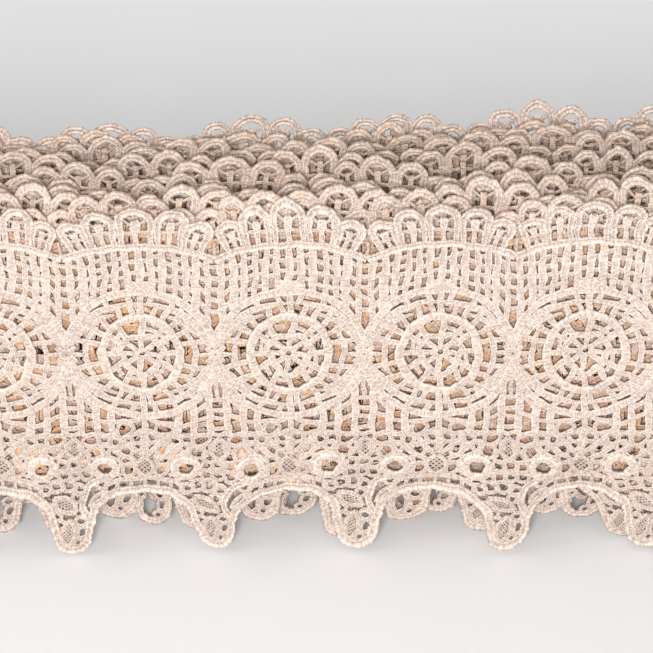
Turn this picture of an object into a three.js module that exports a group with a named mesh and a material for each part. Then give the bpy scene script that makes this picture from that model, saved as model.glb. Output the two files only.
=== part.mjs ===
// A length of wide scalloped lace wound flat, turn over turn, and stood on its deep lower scallops.
// Millimetres, +Z up. +X runs along the roll, and the face seen from the front looks towards -Y.
import * as THREE from 'three';

// The lace: one repeat of its pattern, and how thick it is with its raised cords
const REPEAT = 36;
const LACE_THICKNESS = 1.5;

// The winding: a straight core with round ends, one pitch further out with each turn
const CORE_LENGTH = 200;
const PITCH = 3.0;
const INNER_END = 0.27;
const OUTER_END = 5.9;
const FRONT_LINE = -17.5;

// The turns lie closer together in front than at the back, and the roll is thicker at its right
const FRONT_SPACING = 0.87;
const BACK_SPACING = 0.0065;
const TAPER = 0.17;
const HALF_LENGTH = 116;

// The turns slid up and down a little against each other, and the lowest ones stand on the table
const SLIDE = 3.6;
const SLIDE_TURNS = 1.37;
const SLIDE_LOW_AT = 5.5;
const STANDING = 0.6;

// How finely the winding is walked, and how its sections are spaced
const STEPS_PER_TURN = 900;
const BEND_STEP = THREE.MathUtils.degToRad(24);
const CLOSEST_SECTIONS = 0.25;
const HEADING_STEP = 0.0005;
const LENGTH_ERROR = 1e-6;

// Half a repeat from the middle of a medallion to the deep scallop beside it, mirrored for the other
// half: height of the looped upper edge and of the scalloped lower edge above the table
const EDGE = [
  { along: 0.0, upper: 106.3, lower: 17.6 },
  { along: 4.6, upper: 101.0, lower: 16.9 },
  { along: 8.3, upper: 104.6, lower: 14.8 },
  { along: 10.0, upper: 100.9, lower: 11.8 },
  { along: 11.6, upper: 97.5, lower: 7.0 },
  { along: 14.4, upper: 100.7, lower: 1.4 },
  { along: 16.2, upper: 96.0, lower: 0.0 },
  { along: 18.0, upper: 94.0, lower: 0.0 },
];
// Where the middle of one medallion of the front turn lies
const MEDALLION_X = -8.5;

const LACE_COLOUR = 0xf3e6d8;

function stretchBack(x, y) {
  const depth = y - FRONT_LINE;
  const wider = 1 + (TAPER * x) / HALF_LENGTH;
  return new THREE.Vector2(x, FRONT_LINE + depth * (FRONT_SPACING + BACK_SPACING * depth) * wider);
}

// A point of the winding. A turn starts at the middle of the back and goes round by the right end.
function windingPoint(turn) {
  const out = PITCH * turn;
  const half = CORE_LENGTH / 2;
  const round = Math.PI * out;
  let run = (turn - Math.floor(turn)) * 2 * (CORE_LENGTH + round);
  if (run < half) {
    return stretchBack(run, out);
  }
  run -= half;
  if (run < round) {
    const angle = run / out;
    return stretchBack(half + out * Math.sin(angle), out * Math.cos(angle));
  }
  run -= round;
  if (run < CORE_LENGTH) {
    return stretchBack(half - run, -out);
  }
  run -= CORE_LENGTH;
  if (run < round) {
    const angle = run / out;
    return stretchBack(-half - out * Math.sin(angle), -out * Math.cos(angle));
  }
  return stretchBack(run - round - half, out);
}

function slide(turn) {
  const swing = 0.5 - 0.5 * Math.cos((2 * Math.PI * (turn - SLIDE_LOW_AT)) / SLIDE_TURNS);
  return Math.max(0, SLIDE * swing - STANDING);
}

// The winding as a fine line, with the length of lace up to each point
function walkWinding() {
  const count = Math.round((OUTER_END - INNER_END) * STEPS_PER_TURN);
  const line = [];
  let length = 0;
  for (let i = 0; i <= count; i++) {
    const turn = INNER_END + ((OUTER_END - INNER_END) * i) / count;
    const point = windingPoint(turn);
    if (i > 0) {
      length += point.distanceTo(line[i - 1].point);
    }
    line.push({ turn, point, length });
  }
  return line;
}

// The length at which the front of the outermost turn passes the chosen medallion
function medallionLength(line) {
  const frontMiddle = Math.floor(OUTER_END) + 0.5;
  const front = line.filter((spot) => Math.abs(spot.turn - frontMiddle) < 0.2);
  front.sort((a, b) => Math.abs(a.point.x - MEDALLION_X) - Math.abs(b.point.x - MEDALLION_X));
  return front[0].length;
}

// The lengths at which the edge table has a row, over the whole lace
function edgeLengths(start, total) {
  const lengths = [];
  for (let middle = start % REPEAT - REPEAT; middle < total + REPEAT; middle += REPEAT) {
    for (const { along } of EDGE) {
      lengths.push(middle + along);
      if (along > 0 && along < REPEAT / 2) {
        lengths.push(middle - along);
      }
    }
  }
  return lengths.filter((length) => length > 0 && length < total);
}

// The lengths at which the winding has turned by one more step
function bendLengths(line) {
  const lengths = [];
  let heading = line[1].point.clone().sub(line[0].point);
  for (let i = 1; i + 1 < line.length; i++) {
    const now = line[i + 1].point.clone().sub(line[i].point);
    if (heading.angleTo(now) > BEND_STEP) {
      lengths.push(line[i].length);
      heading = now;
    }
  }
  return lengths;
}

function edgeHeights(along) {
  const folded = Math.abs(along - REPEAT * Math.round(along / REPEAT));
  const next = Math.max(1, EDGE.findIndex((row) => row.along >= folded - LENGTH_ERROR));
  const [from, to] = [EDGE[next - 1], EDGE[next]];
  const share = (folded - from.along) / (to.along - from.along);
  return {
    upper: THREE.MathUtils.lerp(from.upper, to.upper, share),
    lower: Math.max(0, THREE.MathUtils.lerp(from.lower, to.lower, share)),
  };
}

function turnAt(line, length) {
  const next = Math.max(1, line.findIndex((spot) => spot.length >= length));
  const [from, to] = [line[next - 1], line[next]];
  return THREE.MathUtils.mapLinear(length, from.length, to.length, from.turn, to.turn);
}

// Sections of the wound lace: at each row of the edge table, and closer together round the bends
function laceSections() {
  const line = walkWinding();
  const total = line[line.length - 1].length;
  const start = medallionLength(line);
  const lengths = [0, ...edgeLengths(start, total), ...bendLengths(line), total];
  lengths.sort((a, b) => a - b);
  const apart = lengths.filter((length, i) => i === 0 || length - lengths[i - 1] > CLOSEST_SECTIONS);
  return apart.map((length) => {
    const turn = turnAt(line, length);
    const point = windingPoint(turn);
    const ahead = windingPoint(turn + HEADING_STEP).sub(windingPoint(turn - HEADING_STEP)).normalize();
    const side = new THREE.Vector2(-ahead.y, ahead.x).multiplyScalar(LACE_THICKNESS / 2);
    const { upper, lower } = edgeHeights(length - start);
    const rise = slide(turn);
    return {
      outer: point.clone().add(side),
      inner: point.clone().sub(side),
      upper: upper + rise,
      lower: lower + rise,
    };
  });
}

// A closed band through the sections, with four corners to a section
function bandGeometry(sections) {
  const positions = [];
  for (const { outer, inner, upper, lower } of sections) {
    positions.push(outer.x, outer.y, lower, outer.x, outer.y, upper);
    positions.push(inner.x, inner.y, upper, inner.x, inner.y, lower);
  }
  const faces = [];
  const quad = (a, b, c, d) => faces.push(a, b, c, a, c, d);
  const corners = 4;
  for (let i = 0; i + 1 < sections.length; i++) {
    const here = corners * i;
    const next = here + corners;
    for (let corner = 0; corner < corners; corner++) {
      const beside = (corner + 1) % corners;
      quad(here + corner, here + beside, next + beside, next + corner);
    }
  }
  const end = corners * (sections.length - 1);
  quad(3, 2, 1, 0);
  quad(end, end + 1, end + 2, end + 3);
  const geometry = new THREE.BufferGeometry();
  geometry.setAttribute('position', new THREE.Float32BufferAttribute(positions, 3));
  geometry.setIndex(faces);
  geometry.computeBoundingBox();
  return geometry;
}

function makeLaceRoll() {
  const geometry = bandGeometry(laceSections());
  const middle = geometry.boundingBox.getCenter(new THREE.Vector3());
  geometry.translate(-middle.x, -middle.y, -geometry.boundingBox.min.z);
  const material = new THREE.MeshStandardMaterial({ color: LACE_COLOUR, roughness: 0.85, metalness: 0 });
  const roll = new THREE.Mesh(geometry, material);
  roll.name = 'lace_roll';
  return roll;
}

const part = new THREE.Group();
part.add(makeLaceRoll());

export default part;
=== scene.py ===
import math

import bpy
import numpy as np
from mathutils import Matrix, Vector


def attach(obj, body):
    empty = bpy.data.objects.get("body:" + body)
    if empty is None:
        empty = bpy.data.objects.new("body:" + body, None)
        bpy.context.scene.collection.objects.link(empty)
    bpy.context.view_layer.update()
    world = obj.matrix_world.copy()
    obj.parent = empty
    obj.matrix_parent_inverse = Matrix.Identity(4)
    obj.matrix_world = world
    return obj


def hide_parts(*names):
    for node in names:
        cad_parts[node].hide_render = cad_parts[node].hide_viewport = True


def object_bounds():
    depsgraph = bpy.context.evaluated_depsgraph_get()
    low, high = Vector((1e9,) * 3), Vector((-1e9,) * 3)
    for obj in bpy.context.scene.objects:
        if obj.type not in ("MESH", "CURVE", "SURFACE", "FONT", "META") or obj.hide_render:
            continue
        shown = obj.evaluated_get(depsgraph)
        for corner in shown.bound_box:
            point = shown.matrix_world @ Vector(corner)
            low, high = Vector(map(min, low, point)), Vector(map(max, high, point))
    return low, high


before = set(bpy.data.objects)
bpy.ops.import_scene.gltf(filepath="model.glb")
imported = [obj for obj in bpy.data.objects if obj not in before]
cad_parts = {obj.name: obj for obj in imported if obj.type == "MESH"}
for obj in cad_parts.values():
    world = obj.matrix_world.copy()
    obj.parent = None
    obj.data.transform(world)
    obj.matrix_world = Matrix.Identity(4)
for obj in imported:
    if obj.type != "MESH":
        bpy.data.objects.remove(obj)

cad_low, cad_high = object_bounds()

# The winding: the line that the middle of the lace follows, seen from above.
# The lace is wound flat on itself, closer in front than at the back, thicker towards the right,
# and its turns have slid up or down a little where they stand on the table. Sizes are in millimetres.
MM = 0.001
# A straight core with round ends. Each turn lies a pitch further out, and both ends are given in turns.
CORE_LENGTH = 200.0
TURN_PITCH = 3.0
INNER_END = 0.27
OUTER_END = 5.9
# The spacing in front, its growth towards the back, and how much of it is added at the right end
FRONT_LINE = -17.5
FRONT_SPACING = 0.87
BACK_SPACING = 0.0065
TAPER = 0.17
HALF_LENGTH = 116.0
# How far the turns have slid, in how many turns that comes round, and the part that the table takes up
SLIDE = 3.6
SLIDE_TURNS = 1.37
SLIDE_LOW_AT = 5.5
STANDING = 0.6
WINDING_STEPS_PER_TURN = 900


def flat_oval(turn):
    """A spot of the evenly wound lace. A turn goes from the middle of the back round the right end."""
    out = TURN_PITCH * turn
    half = CORE_LENGTH / 2
    bend = math.pi * out
    run = (turn % 1) * 2 * (CORE_LENGTH + bend)
    if run < half:
        return run, out
    run -= half
    if run < bend:
        return half + out * math.sin(run / out), out * math.cos(run / out)
    run -= bend
    if run < CORE_LENGTH:
        return half - run, -out
    run -= CORE_LENGTH
    if run < bend:
        return -half - out * math.sin(run / out), -out * math.cos(run / out)
    return run - bend - half, out


def wind(turns):
    """The spots of these turns, with the winding spread towards the back and the right."""
    x, y = np.array([flat_oval(turn) for turn in turns]).T
    depth = y - FRONT_LINE
    wider = 1 + TAPER * x / HALF_LENGTH
    y = FRONT_LINE + depth * (FRONT_SPACING + BACK_SPACING * depth) * wider
    return np.stack([x, y], 1)


def lengths_along(line):
    """The length of a line up to each of its points."""
    steps = np.linalg.norm(np.diff(line, axis=0), axis=1)
    return np.concatenate([[0.0], np.cumsum(steps)])


def line_object(name, points, edges, values):
    """An object of lines only, in metres, with named values at its points."""
    mesh = bpy.data.meshes.new(name)
    mesh.from_pydata(points.tolist(), edges, [])
    for key, numbers in values.items():
        attribute = mesh.attributes.new(key, "FLOAT", "POINT")
        attribute.data.foreach_set("value", np.asarray(numbers, np.float32))
    made = bpy.data.objects.new(name, mesh)
    bpy.context.scene.collection.objects.link(made)
    return made


winding_steps = round((OUTER_END - INNER_END) * WINDING_STEPS_PER_TURN)
winding_turns = np.linspace(INNER_END, OUTER_END, winding_steps + 1)
winding_plan = wind(winding_turns)
winding_plan -= (winding_plan.min(0) + winding_plan.max(0)) / 2
winding_length = lengths_along(winding_plan)
swing = 0.5 - 0.5 * np.cos(2 * math.pi * (winding_turns - SLIDE_LOW_AT) / SLIDE_TURNS)
winding_rise = np.maximum(0.0, SLIDE * swing - STANDING)
winding = line_object(
    "winding",
    np.column_stack([winding_plan, np.zeros(len(winding_plan))]) * MM,
    [(i, i + 1) for i in range(winding_steps)],
    {"rise": winding_rise * MM},
)

# The thread: soft ivory cotton, laid in close satin stitches across every cord.
# The rims, where each stitch turns back, stand up and carry a painted highlight. The furrow between them
# is painted greyer as shade, and the sides are painted warm as shade. Turns that others cover get a
# painted tan shade for the warm bounced light, in uneven patches.
STITCH_PITCH = 0.52
STITCH_SPREAD = 0.8
STITCH_DRIFT = 150
STITCHES = dict(scale=1, detail=1.5)
FIBRES = dict(scale=3000, detail=2)
FIBRE_SHARE = 0.3
RIDGE_SHARE = 0.3
RELIEF = 0.8
# The stitch grain darkens the colour where it dips between stitches, as painted shade, mixed with the
# fibres' own uneven tone
STITCH_TONES = dict(low=0.38, high=0.60, least=0.62, most=1.05)
# Colours, each with its height as a fourth number, and where they lie from a cord's middle to its side:
# the rims as painted highlight, and the furrow, groove and sides as painted shade
RIM_HIGHLIGHT = (0.915, 0.778, 0.698, 1.0)
FURROW_SHADE = (0.755, 0.614, 0.538, 0.0)
GROOVE_SHADE = (0.83, 0.69, 0.61, 0.5)
SIDE_SHADE = (0.74, 0.57, 0.45, 0.2)
FLAT_CORD_SHADING = {0.30: FURROW_SHADE, 0.58: RIM_HIGHLIGHT, 0.86: RIM_HIGHLIGHT, 1.0: SIDE_SHADE}
DOUBLE_CORD_SHADING = {0.10: FURROW_SHADE, 0.36: RIM_HIGHLIGHT, 0.62: RIM_HIGHLIGHT, 0.74: GROOVE_SHADE, 0.88: RIM_HIGHLIGHT, 1.0: SIDE_SHADE}
WARM_PATCH = (1.0, 0.96, 0.91, 1.0)
WARM_PATCHES = dict(scale=60, detail=2)
# Painted tan shade for turns that others cover, stronger or weaker in patches
PAINTED_TAN_SHADE = (0.93, 0.685, 0.46, 1.0)
PAINTED_TAN_PATCHES = dict(scale=330, detail=1)
PAINTED_TAN_TONES = dict(low=0.36, high=0.64, least=0.3, most=1.0)


def thread_material(name):
    material = bpy.data.materials.new(name)
    material.use_nodes = True
    nodes, links = material.node_tree.nodes, material.node_tree.links
    shader = nodes["Principled BSDF"]
    shader.inputs["Roughness"].default_value = 0.8
    shader.inputs["Sheen Weight"].default_value = 0.15
    shader.inputs["Sheen Roughness"].default_value = 0.5
    shader.inputs["Specular IOR Level"].default_value = 0.25

    def noise(spot, scale, detail):
        made = nodes.new("ShaderNodeTexNoise")
        made.inputs["Scale"].default_value = scale
        made.inputs["Detail"].default_value = detail
        links.new(spot, made.inputs["Vector"])
        return made.outputs["Fac"]

    def spread(value, low, high, least, most):
        """A value that goes from least to most while the given one goes from low to high."""
        made = nodes.new("ShaderNodeMapRange")
        made.inputs["From Min"].default_value = low
        made.inputs["From Max"].default_value = high
        made.inputs["To Min"].default_value = least
        made.inputs["To Max"].default_value = most
        links.new(value, made.inputs["Value"])
        return made.outputs["Result"]

    def mixed(first, second, share):
        made = nodes.new("ShaderNodeMix")
        made.inputs["Factor"].default_value = share
        links.new(first, made.inputs["A"])
        links.new(second, made.inputs["B"])
        return made.outputs["Result"]

    def attribute(key):
        made = nodes.new("ShaderNodeAttribute")
        made.attribute_name = key
        return made.outputs["Fac"]

    # Stitches are long across the cord and short along it, and drift from place to place
    place = nodes.new("ShaderNodeTexCoord").outputs["Object"]
    lay = nodes.new("ShaderNodeUVMap")
    lay.uv_map = "stitches"
    across = nodes.new("ShaderNodeMapping")
    across.inputs["Scale"].default_value = (1 / (STITCH_PITCH * MM), STITCH_SPREAD, 1)
    links.new(lay.outputs["UV"], across.inputs["Vector"])
    drift = nodes.new("ShaderNodeVectorMath")
    drift.operation = "MULTIPLY_ADD"
    drift.inputs[1].default_value = (STITCH_DRIFT, STITCH_DRIFT, STITCH_DRIFT)
    links.new(place, drift.inputs[0])
    links.new(across.outputs["Vector"], drift.inputs[2])
    stitches = noise(drift.outputs["Vector"], **STITCHES)
    grain = mixed(stitches, noise(place, **FIBRES), FIBRE_SHARE)

    # Painted highlight on the rims and painted shade in the furrow and on the sides, by how far across the
    # cord a spot is
    sides = nodes.new("ShaderNodeSeparateXYZ")
    links.new(lay.outputs["UV"], sides.inputs["Vector"])
    outwards = nodes.new("ShaderNodeMath")
    outwards.operation = "ABSOLUTE"
    links.new(sides.outputs["Y"], outwards.inputs[0])
    shade = nodes.new("ShaderNodeMix")
    shade.data_type = "RGBA"
    ridge = nodes.new("ShaderNodeMix")
    for choice, cord in (("A", FLAT_CORD_SHADING), ("B", DOUBLE_CORD_SHADING)):
        ramp = nodes.new("ShaderNodeValToRGB")
        stops = ramp.color_ramp.elements
        stops.remove(stops[0])
        for position, colour in cord.items():
            stop = stops[-1] if position == 1.0 else stops.new(position)
            stop.color = colour
        links.new(outwards.outputs[0], ramp.inputs["Fac"])
        links.new(ramp.outputs["Color"], shade.inputs[choice])
        links.new(ramp.outputs["Alpha"], ridge.inputs[choice])
    double = attribute("double")
    for chosen in (shade, ridge):
        links.new(double, chosen.inputs["Factor"])
    bump = nodes.new("ShaderNodeBump")
    bump.inputs["Strength"].default_value = 1.0
    bump.inputs["Distance"].default_value = RELIEF * MM
    links.new(mixed(grain, ridge.outputs["Result"], RIDGE_SHARE), bump.inputs["Height"])
    links.new(bump.outputs["Normal"], shader.inputs["Normal"])

    # Colour darker in the dips between stitches as painted shade, then in slow warm patches, then painted
    # tan shade where other turns cover it
    toned = nodes.new("ShaderNodeVectorMath")
    toned.operation = "SCALE"
    links.new(shade.outputs["Result"], toned.inputs[0])
    links.new(spread(grain, **STITCH_TONES), toned.inputs["Scale"])
    painted_tan_amount = nodes.new("ShaderNodeMath")
    painted_tan_amount.operation = "MULTIPLY"
    links.new(attribute("covered"), painted_tan_amount.inputs[0])
    links.new(spread(noise(place, **PAINTED_TAN_PATCHES), **PAINTED_TAN_TONES), painted_tan_amount.inputs[1])
    colour = toned.outputs["Vector"]
    for amount, tint in ((noise(place, **WARM_PATCHES), WARM_PATCH), (painted_tan_amount.outputs[0], PAINTED_TAN_SHADE)):
        tinted = nodes.new("ShaderNodeMix")
        tinted.data_type = "RGBA"
        tinted.blend_type = "MULTIPLY"
        tinted.inputs["B"].default_value = tint
        links.new(amount, tinted.inputs["Factor"])
        links.new(colour, tinted.inputs["A"])
        colour = tinted.outputs["Result"]
    links.new(colour, shader.inputs["Base Color"])
    return material


ivory_thread = thread_material("ivory_thread")

# The chart of one repeat, from the middle of one deep scallop to the next, drawn flat in millimetres.
# x runs to the right as seen from the face, y up from the middle of the medallion. Four makes of cord:
# double-ridged bands, flat satin cords, padded satin, and thin threads. No cord is quite even.
HALF_REPEAT = 18.0
REPEAT = 2 * HALF_REPEAT
LOWEST = -61.0
CHART_SEED = 7
chart = []
hand = np.random.default_rng(CHART_SEED)


def smooth_line(points, per_span=10):
    """A curve through the points (Catmull-Rom)."""
    p = np.asarray(points, float)
    p = np.concatenate([[2 * p[0] - p[1]], p, [2 * p[-1] - p[-2]]])
    t = np.linspace(0, 1, per_span, endpoint=False)[:, None]
    spans = []
    for a, b, c, d in zip(p, p[1:], p[2:], p[3:]):
        bend = (2 * a - 5 * b + 4 * c - d) * t**2 + (3 * b - a - 3 * c + d) * t**3
        spans.append(0.5 * (2 * b + (c - a) * t + bend))
    return np.concatenate([*spans, [p[-2]]])


def turned(angle, length=1.0):
    """A step of this length in the direction of an angle in degrees."""
    return length * np.array([math.cos(math.radians(angle)), math.sin(math.radians(angle))])


def arc(middle, radius, start, end, steps=48):
    angles = np.linspace(start, end, steps)
    return np.array([np.add(middle, turned(angle, radius)) for angle in angles])


def stitch(make, line, width, thickness, lift=0.0, ends=1.0, zone="fill"):
    """Adds a cord along the line. ends is the share of its width left at its two ends, and zone says
    whether it is of the upper or lower edge, of the main pattern or of the filling between."""
    cord = dict(make=make, line=np.asarray(line, float), width=width, thickness=thickness, lift=lift)
    cord.update(ends=ends, zone=zone, phases=hand.uniform(0, 2 * math.pi, 4))
    chart.append(cord)


def both_sides(line):
    """The line, and its mirror image in the middle of the repeat."""
    line = np.asarray(line, float)
    return line, line * (-1, 1)


# The upper edge: five loops to a repeat on a shallow arched band, side by side like scales.
# Each loop is a double-ridged band that narrows to its feet. It holds a padded knot on a stem,
# tied to the loop by short arms above and by a bar below.
LOOP_WIDTH = 2.25
LOOP_FOOT_SHARE = 0.62
STEM_WIDTH = 1.7
KNOT_WIDTH = 3.0
ARCH_WIDTH = 2.2
BAND_THICKNESS = 1.3
BAND_LIFT = 0.1
LOOPS = [
    dict(crown=(0.0, 40.7), across=3.55, above=3.45, inner_foot=(-3.45, 33.5), outer_foot=(3.45, 33.5)),
    dict(crown=(8.2, 39.7), across=3.0, above=2.85, inner_foot=(5.0, 33.1), outer_foot=(10.0, 32.1)),
    dict(crown=(14.3, 36.7), across=2.5, above=2.45, inner_foot=(10.9, 31.9), outer_foot=(14.2, 30.5)),
]
ARCH_TOP = 33.2
ARCH_DROP = 4.3
ARCH_SHAPE = 2.2


def upper_arch(x):
    return ARCH_TOP - ARCH_DROP * np.abs(np.asarray(x) / HALF_REPEAT) ** ARCH_SHAPE


for loop in LOOPS:
    crown = np.array(loop["crown"])
    inner_foot = np.array(loop["inner_foot"])
    outer_foot = np.array(loop["outer_foot"])
    stem = crown - (inner_foot + outer_foot) / 2
    upward = stem / np.linalg.norm(stem)
    outward = np.array([upward[1], -upward[0]])

    def in_loop(a, b):
        """A spot in the loop: a of its half width outwards and b of its crown height up."""
        return crown + a * loop["across"] * outward + b * loop["above"] * upward

    over = [in_loop(*turned(angle)) for angle in np.linspace(180, 0, 9)]
    band = smooth_line([inner_foot, *over, outer_foot])
    size = loop["across"] / LOOPS[0]["across"]
    foot_level = -np.linalg.norm(stem) / loop["above"]
    stem_line = smooth_line([in_loop(0, foot_level), in_loop(0, -0.6)])
    knot_line = smooth_line([in_loop(0, -0.9), in_loop(0, -0.4), in_loop(0, 0.1)])
    arms_line = smooth_line([in_loop(-0.9, 0.4), in_loop(0, -0.3), in_loop(0.9, 0.3)])
    bar_line = smooth_line([in_loop(-0.92, -1.0), in_loop(0, -0.9), in_loop(0.92, -1.0)])
    for mirror in ((1, 1), (-1, 1)) if crown[0] else ((1, 1),):
        stitch("band", band * mirror, LOOP_WIDTH, BAND_THICKNESS, BAND_LIFT, LOOP_FOOT_SHARE, "upper")
        stitch("satin", stem_line * mirror, STEM_WIDTH * size, thickness=0.9, zone="upper")
        stitch("padded", knot_line * mirror, KNOT_WIDTH * size, 1.2, lift=0.05, ends=0.6, zone="upper")
        stitch("satin", arms_line * mirror, width=0.7, thickness=0.8, zone="upper")
        stitch("satin", bar_line * mirror, width=0.9, thickness=0.8, zone="upper")

arch_x = np.linspace(-HALF_REPEAT, HALF_REPEAT, 49)
arch_line = np.stack([arch_x, upper_arch(arch_x)], 1)
stitch("band", arch_line, ARCH_WIDTH, BAND_THICKNESS, BAND_LIFT, zone="upper")
# Where two arches meet, a thin upright cord and a short bar tie the loops on both sides
CUSP = np.array([HALF_REPEAT, upper_arch(HALF_REPEAT)])
CUSP_CORD = (0, 5.0)
CUSP_BAR = [(16.6, 37.1), (19.4, 37.1)]
stitch("satin", [CUSP, CUSP + CUSP_CORD], width=0.8, thickness=0.7)
stitch("satin", CUSP_BAR, width=1.0, thickness=0.8)

# The medallion: a thick padded ring with a spoked wheel in it, in a halo of two satin arcs that meet
# the next ones in a star. Crescents run from star to star between ring and halo, with short ties
# across the slits between them.
HALO = dict(level=18.25, upright=19.1, width=2.3)
RING = dict(level=9.4, upright=11.5, width=2.5)
CRESCENTS = [
    dict(level=17.3, upright=15.5, width=2.2, end=88),
    dict(level=16.8, upright=12.8, width=1.7, end=62),
]
CRESCENT_START = 7
CRESCENT_TIP_SHARE = 0.42
SIDE_BOW = dict(level=13.2, upright=14.6, width=1.7, spread=38)
TIE_STEP = 16
TIE_STRAY = 4
TIE_SLANT = 5
TIE_WIDTH = 1.6
SPOKES = 12
SPOKE_STRAY = 6
SPOKE_SLANT = 7
SPOKE_REACH = 0.9
CROSS_CORD_GAP = 3
CROSS_CORD_REACH = (1.28, 1.5)
WHEEL = dict(level=4.9, upright=5.9, width=1.9)
WHEEL_WAVES = {3: 0.09, 7: 0.06}
INNER_SPOKE_SLANT = 8
HUB_RADIUS = 1.3


def on_oval(oval, angle, size=1.0):
    """A spot of an oval about the middle of the medallion, in the direction of an angle in degrees."""
    level, upright = oval["level"], oval["upright"]
    return turned(angle, size * level * upright / np.linalg.norm(turned(angle) * (upright, level)))


def oval_line(oval, start, end, steps=48):
    return np.array([on_oval(oval, angle) for angle in np.linspace(start, end, steps)])


def halo(x):
    """How high the halo is over a spot of the medallion's level middle line."""
    share = np.asarray(x) / HALO["level"]
    return HALO["upright"] * np.sqrt(np.maximum(0.0, 1 - share**2))


halo_end = math.degrees(math.atan2(halo(HALF_REPEAT), HALF_REPEAT))
for start in (0, 180):
    line = oval_line(HALO, start + halo_end, start + 180 - halo_end)
    stitch("satin", line, HALO["width"], thickness=1.1, lift=0.1, zone="main")
    line = oval_line(SIDE_BOW, start - SIDE_BOW["spread"], start + SIDE_BOW["spread"], 16)
    stitch("satin", line, SIDE_BOW["width"], thickness=0.9, ends=0.6, zone="main")
    line = [on_oval(RING, start + 90), on_oval(HALO, start + 90)]
    stitch("satin", line, width=1.8, thickness=0.9)
stitch("padded", oval_line(RING, -90, 270), RING["width"], thickness=1.7, lift=0.25, zone="main")
for quarter in ((1, 1), (-1, 1), (-1, -1), (1, -1)):
    for crescent in CRESCENTS:
        line = oval_line(crescent, CRESCENT_START, crescent["end"], 20) * quarter
        stitch("satin", line, crescent["width"], 1.0, lift=0.05, ends=CRESCENT_TIP_SHARE, zone="main")
    outer, inner = CRESCENTS
    for angle in np.arange(TIE_STEP, 90, TIE_STEP):
        place = angle + hand.uniform(-TIE_STRAY, TIE_STRAY, 2)
        slant = hand.uniform(-TIE_SLANT, TIE_SLANT, 2)
        tied = [(on_oval(outer, place[0]), on_oval(HALO, place[0] + slant[0]))]
        foot = on_oval(inner if place[1] < inner["end"] else RING, place[1])
        tied.append((foot, on_oval(outer, place[1] + slant[1])))
        if angle < inner["end"]:
            tied.append((on_oval(RING, angle + slant[1]), on_oval(inner, angle)))
        for line in tied:
            stitch("satin", np.array(line) * quarter, TIE_WIDTH, thickness=0.8)
for number in range(SPOKES):
    spoke = 360 * number / SPOKES + hand.uniform(-SPOKE_STRAY, SPOKE_STRAY)
    outer_end = on_oval(RING, spoke + hand.uniform(-SPOKE_SLANT, SPOKE_SLANT), SPOKE_REACH)
    stitch("satin", [on_oval(WHEEL, spoke), outer_end], width=1.75, thickness=0.8)
    if number % 3:
        reach = hand.uniform(*CROSS_CORD_REACH, 2)
        start, end = spoke + CROSS_CORD_GAP, spoke + 360 / SPOKES - CROSS_CORD_GAP
        line = [on_oval(WHEEL, start, reach[0]), on_oval(WHEEL, end, reach[1])]
        stitch("satin", line, width=1.3, thickness=0.7)
wheel = []
for angle in np.linspace(-90, 270, 48):
    waves = [height * math.sin(math.radians(count * angle)) for count, height in WHEEL_WAVES.items()]
    wheel.append(on_oval(WHEEL, angle, 1 + sum(waves)))
stitch("satin", wheel, WHEEL["width"], thickness=1.0, zone="main")
for spoke in np.arange(0, 360, 45):
    outer_end = on_oval(WHEEL, spoke + hand.uniform(-INNER_SPOKE_SLANT, INNER_SPOKE_SLANT))
    stitch("satin", [turned(spoke), outer_end], width=1.6, thickness=0.8)
stitch("padded", arc((0, 0), HUB_RADIUS, -90, 270, 16), width=1.4, thickness=1.0)

# Rays of the star, in turn level, slanting, upright and slanting
STAR_REACHES = (4.2, 3.4, 6.6, 3.4)
STAR_CORD = [(0, -6.0), (0, -14.5)]
star = np.array([HALF_REPEAT, 0.0])
for ray in range(8):
    line = [star + turned(45 * ray, 0.3), star + turned(45 * ray, STAR_REACHES[ray % 4])]
    stitch("padded", line, width=1.7, thickness=1.2, lift=0.1, ends=0.5)
stitch("satin", star + STAR_CORD, width=1.3, thickness=0.9, ends=0.7)

# The bars: satin pillars, slightly fanned, between the arched band and the halo, and more under the stars,
# with short rungs between them at uneven heights. A fan of small petals stands on each halo.
UPPER_BAR_TOPS = (0.0, 3.0, 5.9, 8.7, 11.4, 13.9, 16.3)
UPPER_BAR_FEET = (0.0, 2.8, 5.6, 8.4, 11.1, 13.7, 16.2)
BAR_WIDTH = 2.2
BAR_WIDTHS = (0.75, 1.1)
BAR_STRAY = 0.35
BAR_UNDER_ARCH = 0.5
BAR_FROM_HALO = 0.3
RUNG_WIDTH = 1.3
RUNG_SPACING = 3.2
RUNG_STRAY = 0.75


def rungs(left, right, odd):
    """Short cords between two bars, each given by its top and foot, half a step lower if odd."""
    left, right = np.array(left, float), np.array(right, float)
    tall = min(left[0, 1] - left[1, 1], right[0, 1] - right[1, 1])
    count = max(1, round(tall / RUNG_SPACING) - 1)
    for number in range(count):
        share = (number + 0.75 + 0.5 * odd) / (count + 1)
        stray = hand.uniform(-RUNG_STRAY, RUNG_STRAY, 2)
        start = left[0] + share * (left[1] - left[0]) + (0, stray[0])
        end = right[0] + share * (right[1] - right[0]) + (0, stray[1])
        stitch("satin", [start, (start + end) / 2, end], RUNG_WIDTH, thickness=0.8)


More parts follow.
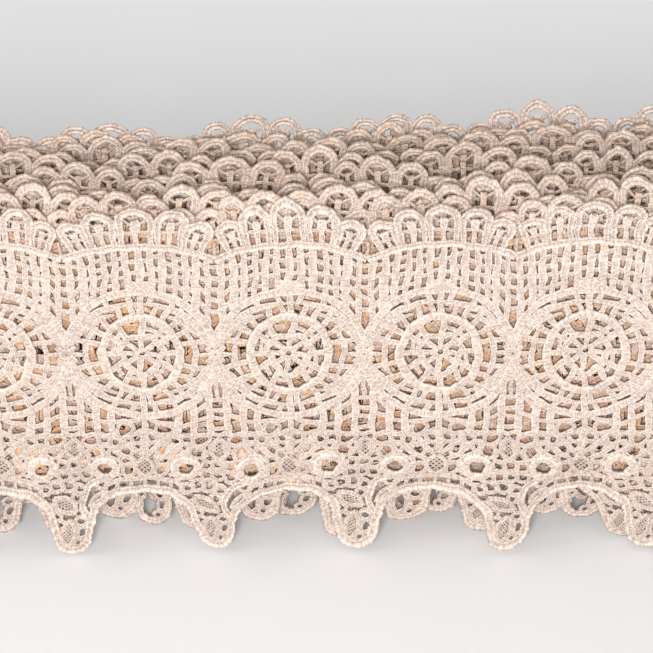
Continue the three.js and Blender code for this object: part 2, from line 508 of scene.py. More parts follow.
upper_bars = []
for top, foot in zip(UPPER_BAR_TOPS, UPPER_BAR_FEET):
    upper_bars.append([(top, upper_arch(top) - BAR_UNDER_ARCH), (foot, halo(foot) + BAR_FROM_HALO)])
for number, bar in enumerate(upper_bars):
    for line in both_sides(bar)[: 2 if bar[0][0] else 1]:
        top, foot = line + np.stack([hand.uniform(-BAR_STRAY, BAR_STRAY, 2), np.zeros(2)], 1)
        bowed = (top + foot) / 2 + (hand.uniform(-BAR_STRAY, BAR_STRAY), 0)
        width = BAR_WIDTH * hand.uniform(*BAR_WIDTHS)
        stitch("satin", smooth_line([top, bowed, foot]), width, thickness=1.0, ends=0.85, zone="main")
    if number:
        rungs(upper_bars[number - 1], bar, number % 2)
        rungs(both_sides(bar)[1], both_sides(upper_bars[number - 1])[1], number % 2)
next_bar = np.array(upper_bars[-1]) * (-1, 1) + (REPEAT, 0)
rungs(upper_bars[-1], next_bar, 0)

HALO_FAN = [dict(angle=90, length=5.4), dict(angle=58, length=4.8), dict(angle=30, length=4.2)]
fan = np.array([0.0, HALO["upright"] - 0.4])
for petal in HALO_FAN:
    line = [fan + turned(petal["angle"], 0.8), fan + turned(petal["angle"], petal["length"])]
    for side in both_sides(line)[: 1 if petal["angle"] == 90 else 2]:
        stitch("padded", side, width=2.1, thickness=1.2, lift=0.1, ends=0.5)

LOWER_BAR_TOPS = (8.4, 11.9, 15.9)
LOWER_BAR_FEET = (8.0, 11.8, 15.9)
LOWER_BAR_WIDTH = 2.15
LOWER_BASE = -25.2
BASE_FROM = 7.0
BASE_SWING = 0.5
BASE_QUICKNESS = 1.6
lower_bars = []
for top, foot in zip(LOWER_BAR_TOPS, LOWER_BAR_FEET):
    lower_bars.append([(top, -halo(top) - BAR_FROM_HALO), (foot, LOWER_BASE)])
lower_bars.append((np.array(lower_bars[-1]) * (-1, 1) + (REPEAT, 0)).tolist())
for number, bar in enumerate(lower_bars):
    if number < len(LOWER_BAR_TOPS):
        for line in both_sides(bar):
            stitch("satin", line, LOWER_BAR_WIDTH, thickness=1.0, ends=0.85, zone="main")
    if number:
        rungs(lower_bars[number - 1], bar, number % 2)
    if 0 < number < len(LOWER_BAR_TOPS):
        rungs(both_sides(bar)[1], both_sides(lower_bars[number - 1])[1], number % 2)
base_x = np.linspace(BASE_FROM, REPEAT - BASE_FROM, 30)
base_y = LOWER_BASE + BASE_SWING * np.cos(BASE_QUICKNESS * base_x)
stitch("satin", np.stack([base_x, base_y], 1), width=1.4, thickness=0.9, zone="main")

# The flower ground: under each medallion a stem with bowed arms, then petalled eyelets, net-filled
# leaves and many small rings whose rims touch, so that little more than their holes is left open.
STEM_LINE = [(0, -19.0), (0, -31.8)]
stitch("satin", STEM_LINE, width=1.8, thickness=1.1, lift=0.1, ends=0.8, zone="main")
STEM_ARMS = [
    [(0.4, -19.4), (3.2, -21.0), (7.6, -21.4)],
    [(0.3, -23.4), (1.7, -24.4), (3.4, -25.4)],
    [(0.6, -32.2), (3.0, -29.2), (6.0, -26.0), (8.2, -25.2)],
    [(2.6, -33.6), (5.6, -31.6), (8.6, -28.4), (10.8, -27.8)],
    [(5.6, -36.2), (6.0, -33.8), (9.6, -31.4), (12.2, -28.4)],
]
for arm in STEM_ARMS:
    for line in both_sides(smooth_line(arm)):
        stitch("satin", line, width=1.6, thickness=0.9, lift=0.05, ends=0.7)

GROUND_EYES = [
    dict(at=(4.9, -23.4), hole=1.4),
    dict(at=(2.0, -26.3), hole=0.9),
    dict(at=(1.9, -29.3), hole=0.9),
    dict(at=(4.6, -27.2), hole=0.9),
    dict(at=(7.3, -27.2), hole=0.9),
    dict(at=(10.2, -26.8), hole=1.1),
    dict(at=(13.6, -27.0), hole=1.4),
    dict(at=(4.6, -30.4), hole=1.1),
    dict(at=(9.8, -29.7), hole=0.8),
    dict(at=(7.4, -31.2), hole=1.2),
    dict(at=(12.5, -31.0), hole=1.5),
    dict(at=(15.6, -29.4), hole=0.8),
    dict(at=(4.4, -33.6), hole=0.9),
    dict(at=(15.5, -32.6), hole=1.0),
    dict(at=(3.9, -36.6), hole=1.1),
    dict(at=(15.0, -35.6), hole=1.0),
    dict(at=(15.2, -38.6), hole=1.0),
]
EYES_UNDER_STAR = [
    dict(at=(HALF_REPEAT, -35.2), hole=0.9),
    dict(at=(HALF_REPEAT, -38.6), hole=0.8),
]
EYE_RIM = 1.15
EYE_OPENING = 1.08
EYE_BULGE = 0.2
LEAF_OUTLINE = 1.1
NET_SLANT = 0.9
GROUND_NET = 1.15
GROUND_LEAVES = [
    dict(tip=(0, -32.2), foot=(0, -38.4), fullness=2.4),
    dict(tip=(HALF_REPEAT, -26.2), foot=(HALF_REPEAT, -33.2), fullness=2.3),
]
FLOWER = (9.8, -36.1)
FLOWER_PETALS = 9
FLOWER_RADIUS = 2.9
PETAL_FROM = 3.2
PETAL_TO = 4.6


def eye(middle, hole, zone="fill"):
    """A small ring about a hole, bulged on two or three sides so that no two are alike."""
    start = hand.uniform(0, 360)
    line = []
    for angle in np.linspace(start, start + 360, 24):
        two_sides = math.cos(math.radians(2 * angle - start))
        three_sides = math.cos(math.radians(3 * angle))
        bulge = 1 + EYE_BULGE * (two_sides + three_sides / 2)
        line.append(middle + turned(angle, bulge * EYE_OPENING * hole + EYE_RIM / 2))
    stitch("satin", line, EYE_RIM, thickness=0.9, zone=zone)


def leaf(tip, foot, fullness, net):
    """A pointed leaf, outlined by a cord and filled with a fine net of crossing threads, net apart."""
    tip, foot = np.array(tip, float), np.array(foot, float)
    length = np.linalg.norm(foot - tip)
    down = (foot - tip) / length
    across = np.array([down[1], -down[0]])
    shares = np.linspace(0, 1, 9)[:, None]
    for side in (-1, 1):
        bow = tip + shares * (foot - tip) + side * fullness * np.sin(math.pi * shares) * across
        stitch("satin", bow, LEAF_OUTLINE, thickness=1.2, lift=0.3)
    count = max(3, round(length / net))
    for share in (np.arange(count) + 0.5) / count:
        half = fullness * 4 * share * (1 - share)
        middle = tip + share * (foot - tip)
        for slant in (-NET_SLANT, NET_SLANT):
            reach = half * (across + slant * down)
            stitch("thread", [middle - reach, middle + reach], width=0.5, thickness=0.5)


def eyelet_flower(middle):
    """A padded ring about an open eyelet, with padded petals round it."""
    middle = np.array(middle, float)
    ring = arc(middle, FLOWER_RADIUS, -90, 270, 32)
    stitch("padded", ring, width=2.4, thickness=1.8, lift=0.35, zone="main")
    for petal in range(FLOWER_PETALS):
        angle = 360 * (petal + 0.25) / FLOWER_PETALS
        line = [middle + turned(angle, PETAL_FROM), middle + turned(angle, PETAL_TO)]
        stitch("padded", line, width=2.0, thickness=1.3, lift=0.15, ends=0.7)


for eyelet in GROUND_EYES:
    for side in (-1, 1):
        eye(np.array(eyelet["at"]) * (side, 1), eyelet["hole"])
for eyelet in EYES_UNDER_STAR:
    eye(eyelet["at"], eyelet["hole"])
for shape in GROUND_LEAVES:
    leaf(shape["tip"], shape["foot"], shape["fullness"], GROUND_NET)
for side in (-1, 1):
    eyelet_flower((side * FLOWER[0], FLOWER[1]))

# The lower edge: a double-ridged band that runs in a wide arch under each medallion and down round a
# deep scallop between them. A ladder follows the arch, and each scallop holds a hooked band,
# net-filled leaves and small eyes.
EDGE_WIDTH = 2.4
EDGE_LINE = [
    (0.0, -42.2), (5.2, -42.9), (9.2, -45.0), (11.9, -48.1), (13.2, -51.7),
    (13.8, -55.1), (15.1, -58.2), (18.0, -59.7), (20.9, -58.2),
]
EDGE_OVERLAP = 0.15
edge_half = np.array(EDGE_LINE)
edge_line = smooth_line(np.concatenate([edge_half[:0:-1] * (-1, 1), edge_half]), 24)
edge_line = edge_line[np.abs(edge_line[:, 0]) < HALF_REPEAT + EDGE_OVERLAP]
stitch("band", edge_line, EDGE_WIDTH, BAND_THICKNESS, lift=0.15, zone="lower")
LADDER_GAP = 3.3
LADDER_HALF = 9.6
LADDER_SPLAY = 1.03
ladder_x = np.linspace(-LADDER_HALF, LADDER_HALF, 25)
ladder_y = np.interp(ladder_x, *edge_line[np.argsort(edge_line[:, 0])].T) + LADDER_GAP
stitch("satin", np.stack([ladder_x, ladder_y], 1), width=1.4, thickness=0.9, zone="main")
for x, y in zip(ladder_x[::4], ladder_y[::4]):
    stitch("satin", [(x, y), (x * LADDER_SPLAY, y - LADDER_GAP)], width=1.0, thickness=0.8)

scallop = np.array([-HALF_REPEAT, 0.0])
HOOK_LINE = [(8.4, -39.2), (4.4, -41.4), (2.8, -44.9), (3.1, -48.8), (4.9, -51.7)]
stitch("band", smooth_line(scallop + HOOK_LINE), width=2.1, thickness=1.2, lift=0.1, zone="lower")
SCALLOP_NET = 1.0
SCALLOP_LEAVES = [
    dict(tip=(-5.2, -44.7), foot=(1.4, -49.1), fullness=1.7),
    dict(tip=(-0.4, -50.8), foot=(-1.9, -58.2), fullness=1.9),
    dict(tip=(4.7, -47.8), foot=(9.6, -43.2), fullness=1.5),
]
for shape in SCALLOP_LEAVES:
    leaf(scallop + shape["tip"], scallop + shape["foot"], shape["fullness"], SCALLOP_NET)
SCALLOP_EYES = [
    dict(at=(2.6, -54.7), hole=1.0),
    dict(at=(1.0, -57.6), hole=0.6),
    dict(at=(2.2, -51.8), hole=0.7),
    dict(at=(-4.0, -54.6), hole=0.6),
    dict(at=(-5.6, -47.6), hole=0.8),
    dict(at=(-1.6, -41.8), hole=1.1),
    dict(at=(1.2, -42.8), hole=0.8),
    dict(at=(-4.6, -41.8), hole=1.0),
    dict(at=(0.6, -45.5), hole=0.7),
    dict(at=(-7.4, -42.6), hole=0.8),
    dict(at=(-4.4, -49.8), hole=0.9),
    dict(at=(-3.4, -52.2), hole=0.7),
    dict(at=(7.6, -41.4), hole=0.8),
]
SCALLOP_FROM = -49
for eyelet in SCALLOP_EYES:
    zone = "lower" if eyelet["at"][1] < SCALLOP_FROM else "fill"
    eye(scallop + eyelet["at"], eyelet["hole"], zone)

# The makes of cord in section, one unit to each side: a band with two rims and a furrow, a flat satin
# cord with low rims, a padded round and a thin thread. Turns inside the roll have fewer corners.
FINE_SECTIONS = dict(
    band=[(-0.8, -0.8), (-0.3, -0.3), (0.3, -0.3), (0.8, -0.8), (1, 0.1), (0.82, 0.95), (0.56, 0.8),
          (0.3, 0.3), (-0.3, 0.3), (-0.56, 0.8), (-0.82, 0.95), (-1, 0.1)],
    satin=[(-1, -0.5), (1, -0.5), (0.86, 0.8), (0, 0.55), (-0.86, 0.8)],
    padded=[(-1, -0.4), (1, -0.4), (0.8, 0.5), (0.3, 1.0), (-0.3, 1.0), (-0.8, 0.5)],
    thread=[(-1, 0), (0, -1), (1, 0), (0, 1)],
)
INNER_SECTIONS = dict(
    band=[(-0.8, -0.9), (0, -0.3), (0.8, -0.9), (1, 0), (0.8, 0.9), (0, 0.3), (-0.8, 0.9), (-1, 0)],
    satin=[(-1, -0.5), (1, -0.5), (0.7, 0.8), (-0.7, 0.8)],
    padded=[(-1, -0.4), (1, -0.4), (0.6, 0.9), (-0.6, 0.9)],
    thread=[(-1, -0.6), (1, -0.6), (0, 1)],
)
DEEP_SECTIONS = {make: corners for make, corners in INNER_SECTIONS.items() if make != "thread"}
# Millimetres from one section to the next along a cord
FRONT_STEPS = dict(band=0.47, satin=0.95, padded=0.75, thread=2.5)
OUTER_STEPS = dict(band=0.75, satin=1.35, padded=1.0, thread=3.0)
SECOND_STEPS = dict(band=0.85, satin=1.9, padded=1.6, thread=4.0)
INNER_STEPS = dict(band=1.25, satin=3.2, padded=2.4, thread=4.0)
LOWER_EDGE_STEP = 1.1
# How far a cord sways from its line, over which lengths, and how far from its ends it sways freely
SWAY = 0.11
SLOW_SWAY = 7.3
QUICK_SWAY = 3.1
QUICK_SHARE = 0.6
FREE_FROM = 2.0
# Unevenness of width and thickness, the notched sides of bands, and the thickness left at a narrow end
RAGGED = 0.13
TEETH = 0.09
END_THICKNESS = 0.4


def swayed(line, phases):
    run = lengths_along(line)
    slow = 2 * math.pi * run / SLOW_SWAY
    quick = 2 * math.pi * run / QUICK_SWAY
    sway = [np.sin(slow + phases[k]) + QUICK_SHARE * np.sin(quick + phases[k + 1]) for k in (0, 2)]
    free = np.clip(np.minimum(run, run[-1] - run) / FREE_FROM, 0, 1)
    return line + SWAY * np.stack(sway * free, 1)


def spaced(line, step):
    """The line with its points evenly spaced, about step apart."""
    run = lengths_along(line)
    at = np.linspace(0, run[-1], max(1, round(run[-1] / step)) + 1)
    return np.stack([np.interp(at, run, line[:, 0]), np.interp(at, run, line[:, 1])], 1)


def chart_object(name, cords, step, pressed):
    """The cords as lines, with the half width, half thickness and lift at each point."""
    points, edges, half_width, half_thickness, lift = [], [], [], [], []
    count = 0
    for number, cord in enumerate(cords):
        cord_step = min(step, LOWER_EDGE_STEP) if cord["zone"] == "lower" else step
        line = swayed(spaced(cord["line"], cord_step), cord["phases"])
        along = np.linspace(0, 1, len(line))
        swell = cord["ends"] + (1 - cord["ends"]) * np.sin(math.pi * along)
        ragged = 1 + RAGGED * np.random.default_rng(number).uniform(-1, 1, (2, len(line)))
        if cord["make"] == "band":
            ragged[0] += TEETH * (-1.0) ** np.arange(len(line))
        ragged[:, [0, -1]] = 1.0
        wider, thinner = pressed.get(cord["zone"], (1.0, 1.0))
        thick = cord["thickness"] * thinner * (END_THICKNESS + (1 - END_THICKNESS) * swell)
        points.append(np.column_stack([line, np.zeros(len(line))]))
        half_width.append(0.5 * cord["width"] * wider * swell * ragged[0])
        half_thickness.append(0.5 * thick * ragged[1])
        lift.append(np.full(len(line), cord["lift"]))
        edges += [(count + k, count + k + 1) for k in range(len(line) - 1)]
        count += len(line)
    values = dict(half_width=half_width, half_thickness=half_thickness, lift=lift)
    values = {key: np.concatenate(numbers) * MM for key, numbers in values.items()}
    return line_object(name, np.concatenate(points) * MM, edges, values)


def repeat_objects(name, sections, steps, zones, pressed):
    """The line objects and section objects of one repeat, with the cords of the given zones."""
    made = {}
    for make, corners in sections.items():
        cords = [cord for cord in chart if cord["make"] == make and cord["zone"] in zones]
        made[make] = chart_object(f"{name}_{make}_lines", cords, steps[make], pressed)
        corners = np.column_stack([corners, np.zeros(len(corners))])
        closed = [(k, (k + 1) % len(corners)) for k in range(len(corners))]
        made[make + " section"] = line_object(f"{name}_{make}_section", corners, closed, {})
    return made


# Covered turns are pressed: their cords are wider and thinner by these shares
PRESSED = dict(main=(1.5, 0.6), fill=(1.3, 0.6))
ALL_ZONES = ("upper", "lower", "main", "fill")
UNFILLED = ALL_ZONES[:3]
front_repeat = repeat_objects("front", FINE_SECTIONS, FRONT_STEPS, ALL_ZONES, {})
outer_repeat = repeat_objects("outer", FINE_SECTIONS, OUTER_STEPS, ALL_ZONES, {})
second_repeat = repeat_objects("second", INNER_SECTIONS, SECOND_STEPS, ALL_ZONES, PRESSED)
third_repeat = repeat_objects("third", DEEP_SECTIONS, INNER_STEPS, ALL_ZONES, PRESSED)
inner_repeat = repeat_objects("inner", DEEP_SECTIONS, INNER_STEPS, UNFILLED, PRESSED)


# The turns: the repeats follow each other along the winding, standing on their scallops.
# Nothing holds them but friction, so the looped and scalloped edges lean and stray a little,
# and no two turns line up.
STANDING_PROUD = 1.0
# Scale and detail of the strays, then how large they are, in millimetres
SMALL_STRAYS = dict(scale=75.0, detail=1.5)
WAVES = dict(scale=240.0, detail=0.0)
LARGE_STRAYS = dict(scale=26.0, detail=1.0)
STRAY_SEED = 3.7
UNEVENNESS = 1.8
WAVINESS = 0.7
EDGE_LEAN = 8.0
# Shares: of the lean far from the edges and at them, of the rise, and of the depth that bulges go by
LEAST_LEAN = 0.22
EDGE_FREEDOM = 1.4
SINKING = 0.6
NESTING = 0.3
# Height above or below the medallion's middle from which an edge is quite loose, and where scallops flare
LOOSE_HEIGHT = 46.0
FLARE_FROM = -40.0
FLARE = 3.0
# Towards both edges of a covered turn less of the painted tan shade is left, on bands and on other cords
PAINTED_TAN_FADES = [
    dict(bare=37.5, covered=31.5, bands=0.3, others=0.45),
    dict(bare=-45.0, covered=-40.0, bands=0.1, others=0.1),
]


def winding_tree():
    tree = bpy.data.node_groups.new("wound_lace", "GeometryNodeTree")
    nodes, links = tree.nodes, tree.links
    numbers = ("first repeat", "repeat", "foot", "unevenness", "waviness", "lean", "loose height",
               "press", "flare", "flare from", "painted_tan_share", "ease", "seed")
    inputs = {"Geometry": "Geometry", "winding": "Object", "repeats": "Int", "finish": "Material"}
    inputs.update({key: "Float" for key in numbers})
    for make in FINE_SECTIONS:
        inputs[make] = "Object"
        inputs[make + " section"] = "Object"
    for key, kind in inputs.items():
        tree.interface.new_socket(key, in_out="INPUT", socket_type="NodeSocket" + kind)
    tree.interface.new_socket("Geometry", in_out="OUTPUT", socket_type="NodeSocketGeometry")
    given = nodes.new("NodeGroupInput").outputs

    def node(kind, feeds=(), **settings):
        """A node with its settings, and its inputs fed with sockets or plain values."""
        made = nodes.new(kind)
        for key, value in settings.items():
            setattr(made, key, value)
        for socket, value in dict(feeds).items():
            if isinstance(value, bpy.types.NodeSocket):
                links.new(value, made.inputs[socket])
            else:
                made.inputs[socket].default_value = value
        return made

    def maths(operation, a, b):
        return node("ShaderNodeMath", {0: a, 1: b}, operation=operation).outputs[0]

    def vector(x, y, z):
        return node("ShaderNodeCombineXYZ", {0: x, 1: y, 2: z}).outputs[0]

    def parts_of(value):
        return node("ShaderNodeSeparateXYZ", {0: value}).outputs

    def scaled(direction, size):
        return node("ShaderNodeVectorMath", {0: direction, "Scale": size}, operation="SCALE").outputs[0]

    def named(name):
        made = node("GeometryNodeInputNamedAttribute", {"Name": name}, data_type="FLOAT")
        return made.outputs["Attribute"]

    def store(geometry, name, value, data_type="FLOAT", domain="POINT"):
        feeds = {"Geometry": geometry, "Name": name, "Value": value}
        made = node("GeometryNodeStoreNamedAttribute", feeds, data_type=data_type, domain=domain)
        return made.outputs[0]

    def spread(value, low, high, least, most):
        """A value that goes from least to most while the given one goes from low to high."""
        feeds = {"Value": value, "From Min": low, "From Max": high, "To Min": least, "To Max": most}
        return node("ShaderNodeMapRange", feeds).outputs["Result"]

    def object_lines(socket):
        info = node("GeometryNodeObjectInfo", {"Object": socket}, transform_space="ORIGINAL")
        return node("GeometryNodeMeshToCurve", {"Mesh": info.outputs["Geometry"]}).outputs["Curve"]

    # One flat repeat: every cord swept with its section, and its stitch lay kept as a UV map
    place = node("GeometryNodeInputPosition").outputs[0]
    x, y, depth = parts_of(place)
    joined = node("GeometryNodeJoinGeometry")
    for make in FINE_SECTIONS:
        section = store(object_lines(given[make + " section"]), "across", x)
        section = store(section, "height", y)
        section = store(section, "double", 1.0 if make == "band" else 0.0)
        reached = node("GeometryNodeSplineParameter").outputs["Length"]
        lines = store(object_lines(given[make]), "along", reached)
        upright = node("GeometryNodeSetCurveNormal", {"Curve": lines}, mode="Z_UP").outputs[0]
        sweep = {"Curve": upright, "Profile Curve": section, "Scale": named("half_width")}
        swept = node("GeometryNodeCurveToMesh", sweep | {"Fill Caps": True}).outputs["Mesh"]
        links.new(swept, joined.inputs["Geometry"])
    level = maths("ADD", named("lift"), maths("MULTIPLY", named("height"), named("half_thickness")))
    raised = {"Geometry": joined.outputs[0], "Position": vector(x, y, level)}
    flat = node("GeometryNodeSetPosition", raised).outputs[0]
    lay = vector(named("along"), named("across"), 0.0)
    laid = store(flat, "stitches", lay, "FLOAT2", "CORNER")

    # The flat strip: repeats side by side, with the painted tan shade of covered turns kept at its points
    offset = vector(maths("MULTIPLY", given["repeat"], -1.0), 0.0, 0.0)
    row = node("GeometryNodeMeshLine", {"Count": given["repeats"], "Offset": offset}).outputs["Mesh"]
    copies = node("GeometryNodeInstanceOnPoints", {"Points": row, "Instance": laid}).outputs["Instances"]
    strip = node("GeometryNodeRealizeInstances", {"Geometry": copies}).outputs[0]
    tint = given["painted_tan_share"]
    for fade in PAINTED_TAN_FADES:
        shares = {"Factor": named("double"), "A": fade["others"], "B": fade["bands"]}
        left = node("ShaderNodeMix", shares).outputs["Result"]
        faded = spread(y, fade["bare"] * MM, fade["covered"] * MM, left, 1.0)
        tint = maths("MULTIPLY", tint, faded)
    strip = store(strip, "covered", tint)

    # The strays of the strip's own: small ones everywhere, and slow ones that grow towards both edges
    def stray(spot, size, scale, detail):
        """Three strays about zero that change from spot to spot."""
        noise = node("ShaderNodeTexNoise", {"Vector": spot, "Scale": scale, "Detail": detail})
        parts = parts_of(noise.outputs["Color"])
        return [maths("MULTIPLY", maths("SUBTRACT", part, 0.5), size) for part in parts]

    length = maths("SUBTRACT", given["first repeat"], maths("MULTIPLY", x, given["ease"]))
    own = vector(length, y, given["seed"])
    to_edge = maths("DIVIDE", y, given["loose height"])
    loose = maths("MINIMUM", maths("MULTIPLY", to_edge, to_edge), 1.0)
    looser = maths("MULTIPLY", loose, loose)
    small = stray(own, given["unevenness"], **SMALL_STRAYS)
    waves = stray(own, given["waviness"], **WAVES)
    large = stray(own, given["lean"], **LARGE_STRAYS)
    shifts = []
    for little, wave, much in zip(small, waves, large):
        slow = maths("MULTIPLY", much, maths("MAXIMUM", loose, LEAST_LEAN))
        shifts.append(maths("ADD", maths("ADD", little, wave), slow))

    # The wound strip: each spot is carried to its length along the winding, and straight on past the ends
    route = object_lines(given["winding"])
    whole = node("GeometryNodeCurveLength", {"Curve": route}).outputs["Length"]
    run = maths("ADD", length, shifts[0])
    held = node("ShaderNodeClamp", {"Value": run, "Min": 0.0, "Max": whole}).outputs[0]
    sample = node("GeometryNodeSampleCurve", {"Curves": route, "Value": named("rise"), "Length": held},
                  mode="LENGTH", data_type="FLOAT", use_all_curves=True).outputs
    past = scaled(sample["Tangent"], maths("SUBTRACT", run, held))
    outward = node("ShaderNodeVectorMath", {0: (0, 0, 1), 1: sample["Tangent"]},
                   operation="CROSS_PRODUCT").outputs[0]

    # Bulges go by the place in the roll, so that each turn nests in the next. Only the edges lean freely,
    # covered turns are pressed outwards against the turn over them, and outer scallops flare.
    there = parts_of(sample["Position"])
    nest = vector(there[0], maths("MULTIPLY", there[1], NESTING), y)
    bulge = maths("ADD", stray(nest, given["unevenness"], **SMALL_STRAYS)[0],
                  stray(nest, given["waviness"], **WAVES)[1])
    lean = maths("MULTIPLY", large[2], maths("MULTIPLY", looser, EDGE_FREEDOM))
    pressed = maths("MULTIPLY", given["press"], maths("SUBTRACT", 1.0, looser))
    hang = spread(y, given["flare from"], given["foot"], 0.0, given["flare"])
    strayed = maths("ADD", depth, maths("ADD", bulge, lean))
    proud = scaled(outward, maths("ADD", strayed, maths("ADD", pressed, hang)))
    sunk = maths("MULTIPLY", shifts[1], SINKING)
    above = maths("ADD", maths("SUBTRACT", y, given["foot"]), maths("ADD", sample["Value"], sunk))
    wound = vector(0.0, 0.0, maths("MAXIMUM", above, 0.0))
    for step in (sample["Position"], past, proud):
        wound = node("ShaderNodeVectorMath", {0: wound, 1: step}, operation="ADD").outputs[0]
    bent = node("GeometryNodeSetPosition", {"Geometry": strip, "Position": wound}).outputs[0]
    turned_out = node("GeometryNodeFlipFaces", {"Mesh": bent}).outputs[0]
    soft = node("GeometryNodeSetShadeSmooth", {"Geometry": turned_out}).outputs[0]
    real = node("GeometryNodeRealizeInstances", {"Geometry": soft}).outputs[0]
    finish = node("GeometryNodeSetMaterial", {"Geometry": real, "Material": given["finish"]}).outputs[0]
    links.new(finish, nodes.new("NodeGroupOutput").inputs["Geometry"])
    return tree


wound_lace = winding_tree()
sockets = [item for item in wound_lace.interface.items_tree if item.in_out == "INPUT"]
identifiers = {socket.name: socket.identifier for socket in sockets}


def wind_turns(name, repeat_of, first, repeats, press, painted_tan_share, ease):
    """A stretch of lace as a plain mesh, from the repeat whose medallion is first mm along the winding."""
    carrier = bpy.data.objects.new(name + "_carrier", bpy.data.meshes.new(name + "_carrier"))
    bpy.context.scene.collection.objects.link(carrier)
    modifier = carrier.modifiers.new("wound_lace", "NODES")
    modifier.node_group = wound_lace
    lengths = {
        "first repeat": first, "repeat": REPEAT, "foot": LOWEST - STANDING_PROUD, "press": press,
        "unevenness": UNEVENNESS, "waviness": WAVINESS, "lean": EDGE_LEAN, "loose height": LOOSE_HEIGHT,
        "flare": 0.0 if painted_tan_share else FLARE, "flare from": FLARE_FROM,
    }
    values = repeat_of | {key: length * MM for key, length in lengths.items()}
    values |= {"repeats": repeats, "painted_tan_share": painted_tan_share, "ease": ease, "seed": STRAY_SEED}
    values |= {"winding": winding, "finish": ivory_thread}
    for key, value in values.items():
        modifier[identifiers[key]] = value
    depsgraph = bpy.context.evaluated_depsgraph_get()
    mesh = bpy.data.meshes.new_from_object(carrier.evaluated_get(depsgraph), depsgraph=depsgraph)
    bpy.data.objects.remove(carrier)
    mesh.materials.pop(index=0)
    made = bpy.data.objects.new(name, mesh)
    bpy.context.scene.collection.objects.link(made)
    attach(made, "root")
    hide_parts("lace_roll")
    return made


# One medallion of the front is at this place, and whole repeats follow it both ways
MEDALLION_X = -8.5
FRONT_REACH = 0.2
front = np.abs(winding_turns - math.floor(OUTER_END) - 0.5) < FRONT_REACH
front_length = winding_length[front][np.argmin(np.abs(winding_plan[front, 0] - MEDALLION_X))]
before = int((front_length - HALF_REPEAT) // REPEAT)
after = int((winding_length[-1] - front_length - HALF_REPEAT) // REPEAT)
first_length = front_length - before * REPEAT
all_repeats = before + 1 + after

# Stretches from the outer end inwards: how far each is pressed outwards, how much painted tan shade it
# has, and how close its repeats are drawn
STRETCHES = [
    dict(name="outer_left", repeat_of=outer_repeat, repeats=4, press=0.0, painted_tan_share=0.0, ease=1.0),
    dict(name="outer_front", repeat_of=front_repeat, repeats=5, press=0.0, painted_tan_share=0.0, ease=1.0),
    dict(name="outer_right", repeat_of=outer_repeat, repeats=6, press=0.0, painted_tan_share=0.0, ease=0.974),
    dict(name="second_left", repeat_of=second_repeat, repeats=6, press=1.3, painted_tan_share=1.0, ease=0.974),
    dict(name="second_right", repeat_of=second_repeat, repeats=7, press=1.3, painted_tan_share=1.0, ease=0.974),
    dict(name="third_turn", repeat_of=third_repeat, repeats=13, press=3.3, painted_tan_share=0.8, ease=1.0),
    dict(name="fourth_turn", repeat_of=inner_repeat, repeats=14, press=2.0, painted_tan_share=0.9, ease=1.0),
]
remaining = all_repeats - sum(stretch["repeats"] for stretch in STRETCHES)
STRETCHES.append(
    dict(name="inner_turns", repeat_of=inner_repeat, repeats=remaining, press=0.0, painted_tan_share=0.9, ease=1.0)
)
reached = first_length + (all_repeats - 0.5) * REPEAT
for stretch in STRETCHES:
    reached -= (stretch["repeats"] - 0.5) * REPEAT * stretch["ease"]
    wind_turns(first=reached, **stretch)
    reached -= HALF_REPEAT * stretch["ease"]

bpy.data.objects.remove(winding)
for repeat_lines in (front_repeat, outer_repeat, second_repeat, third_repeat, inner_repeat):
    for drawn in repeat_lines.values():
        bpy.data.objects.remove(drawn)

# The stage: a plain pale floor that the roll stands on.
FLOOR_SIDE = 4.0
FLOOR_COLOUR = (0.76, 0.76, 0.76, 1)
floor_mesh = bpy.data.meshes.new("floor")
corner = FLOOR_SIDE / 2
floor_corners = [(-corner, -corner, 0), (corner, -corner, 0), (corner, corner, 0), (-corner, corner, 0)]
floor_mesh.from_pydata(floor_corners, [], [(0, 1, 2, 3)])
floor = bpy.data.objects.new("floor", floor_mesh)
bpy.context.scene.collection.objects.link(floor)
floor_paint = bpy.data.materials.new("floor_paint")
floor_paint.use_nodes = True
floor_shader = floor_paint.node_tree.nodes["Principled BSDF"]
floor_shader.inputs["Base Color"].default_value = FLOOR_COLOUR
floor_shader.inputs["Roughness"].default_value = 0.9
floor_mesh.materials.append(floor_paint)

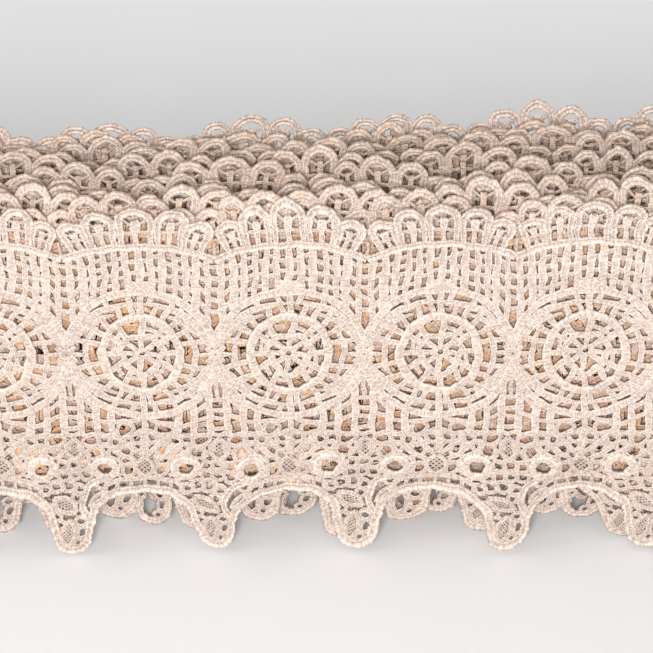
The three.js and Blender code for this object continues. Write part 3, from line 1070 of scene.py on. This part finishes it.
# The light: one soft lamp nearly in line with the camera, so that light reaches into the holes, a weak one
# from the left, one behind the roll, and an even sky. The thread is so pale that light goes on from cord
# to cord many times and comes out warm.
LAMPS = [
    dict(name="key_lamp", place=(-0.07, -1.04, 0.74), side=0.3, power=14.0),
    dict(name="side_lamp", place=(-0.9, -0.2, 0.5), side=0.6, power=2.0),
    dict(name="back_lamp", place=(0.5, 1.3, 0.25), side=0.7, power=10.0),
]
SKY_STRENGTH = 0.5
CORD_BOUNCES = 8
for lamp in LAMPS:
    light = bpy.data.lights.new(lamp["name"], "AREA")
    light.size = lamp["side"]
    light.energy = lamp["power"]
    lamp_object = bpy.data.objects.new(lamp["name"], light)
    bpy.context.scene.collection.objects.link(lamp_object)
    lamp_object.location = lamp["place"]
    lamp_object.rotation_euler = (-Vector(lamp["place"])).to_track_quat("-Z", "Y").to_euler()
sky = bpy.data.worlds.new("sky")
sky.use_nodes = True
sky.node_tree.nodes["Background"].inputs["Color"].default_value = (1, 1, 1, 1)
sky.node_tree.nodes["Background"].inputs["Strength"].default_value = SKY_STRENGTH
bpy.context.scene.world = sky
bpy.context.scene.cycles.diffuse_bounces = CORD_BOUNCES

# The camera: in front of the roll, looking down on its face and its looped upper edges.
CAMERA_ELEVATION = 38.0
CAMERA_DISTANCE = 0.9
VIEW_WIDTH = 0.157
VIEW_HEIGHT = 0.0712
SENSOR_WIDTH = 36.0
camera_data = bpy.data.cameras.new("camera")
camera = bpy.data.objects.new("camera", camera_data)
bpy.context.scene.collection.objects.link(camera)
target = Vector((0, cad_low[1], VIEW_HEIGHT))
slope = math.radians(CAMERA_ELEVATION)
camera.location = target + CAMERA_DISTANCE * Vector((0, -math.cos(slope), math.sin(slope)))
camera.rotation_euler = (target - camera.location).to_track_quat("-Z", "Y").to_euler()
camera_data.sensor_width = SENSOR_WIDTH
camera_data.lens = SENSOR_WIDTH * CAMERA_DISTANCE / VIEW_WIDTH
bpy.context.scene.camera = camera
bpy.context.scene.view_settings.view_transform = "Standard"
